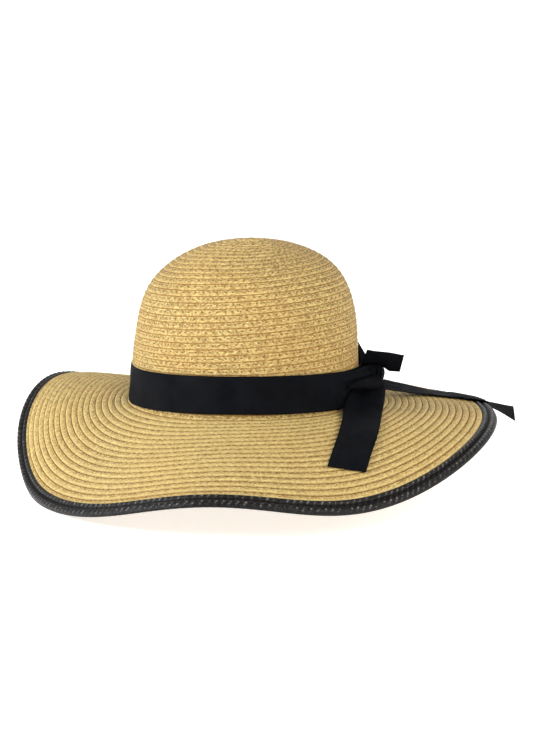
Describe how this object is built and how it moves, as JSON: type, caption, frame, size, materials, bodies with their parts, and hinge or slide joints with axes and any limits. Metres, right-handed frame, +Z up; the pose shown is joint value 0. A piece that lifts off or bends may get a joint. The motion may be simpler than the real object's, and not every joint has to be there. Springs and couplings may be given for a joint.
{
  "type": "straw sun hat",
  "caption": "Wide-brimmed straw sun hat with a round crown, a waved bound brim, and a dark ribbon band tied in a bow at the side.",
  "frame": {"origin": "on the crown's axis, in the plane where the crown and the brim meet", "axes": "+Z up along the crown's axis, -Y the front of the hat, +X the side with the bow"},
  "size_m": [0.4248, 0.4004, 0.2029],
  "materials": {
    "straw": "plaited paper straw, sewn in rows, slight sheen",
    "sewing_thread": "brown sewing thread",
    "binding_leather": "black coated leather, puckered, semi-gloss",
    "black_thread": "black sewing thread",
    "wire": "bright spring wire",
    "wire_sleeve": "crimped sleeve",
    "lining": "woven cotton tape",
    "cord": "round twisted cord",
    "label": "blank satin label",
    "ribbon": "matt black woven ribbon, soft sheen"
  },
  "bodies": {
    "hat": {"crown_braid": "straw", "brim_braid": "straw", "crown_thread": "sewing_thread", "brim_thread": "sewing_thread", "edge_binding": "binding_leather", "binding_stitches": "black_thread", "brim_wire": "wire", "wire_sleeve": "wire_sleeve", "sweatband": "lining", "sweatband_stitches": "sewing_thread", "size_cord": "cord", "label_stitches": "sewing_thread"},
    "label": {"care_label": "label"},
    "ribbon": {"ribbon_band": "ribbon", "bow_knot": "ribbon"},
    "upper_loop": {"bow_loop_upper": "ribbon"},
    "front_loop": {"bow_loop_front": "ribbon"},
    "front_tail": {"ribbon_tail_front": "ribbon"},
    "rear_tail": {"ribbon_tail_rear": "ribbon"}
  },
  "joints": [
    {"name": "band_lift", "type": "slide", "parent": "hat", "child": "ribbon", "axis": [0, 0, 1], "range_m": [0, 0.14]},
    {"name": "upper_loop_lift", "type": "hinge", "parent": "ribbon", "child": "upper_loop", "pos_m": [0.10065, -0.01392, 0.0294], "axis": [-0.1564, -0.9877, 0], "range_deg": [0, 35]},
    {"name": "front_loop_lift", "type": "hinge", "parent": "ribbon", "child": "front_loop", "pos_m": [0.10115, -0.02675, 0.0248], "axis": [-0.9877, 0.1564, 0], "range_deg": [0, 30]},
    {"name": "front_tail_swing", "type": "hinge", "parent": "ribbon", "child": "front_tail", "pos_m": [0.104, -0.025, 0.0095], "axis": [-0.5, 0, 0.866], "range_deg": [0, 35]},
    {"name": "rear_tail_swing", "type": "hinge", "parent": "ribbon", "child": "rear_tail", "pos_m": [0.1143, -0.0054, 0.0123], "axis": [0, -0.4472, 0.8944], "range_deg": [0, 30]},
    {"name": "label_flip", "type": "hinge", "parent": "hat", "child": "label", "pos_m": [0.04475, 0.07751, 0.0315], "axis": [0.866, -0.5, 0], "range_deg": [0, 80]}
  ]
}
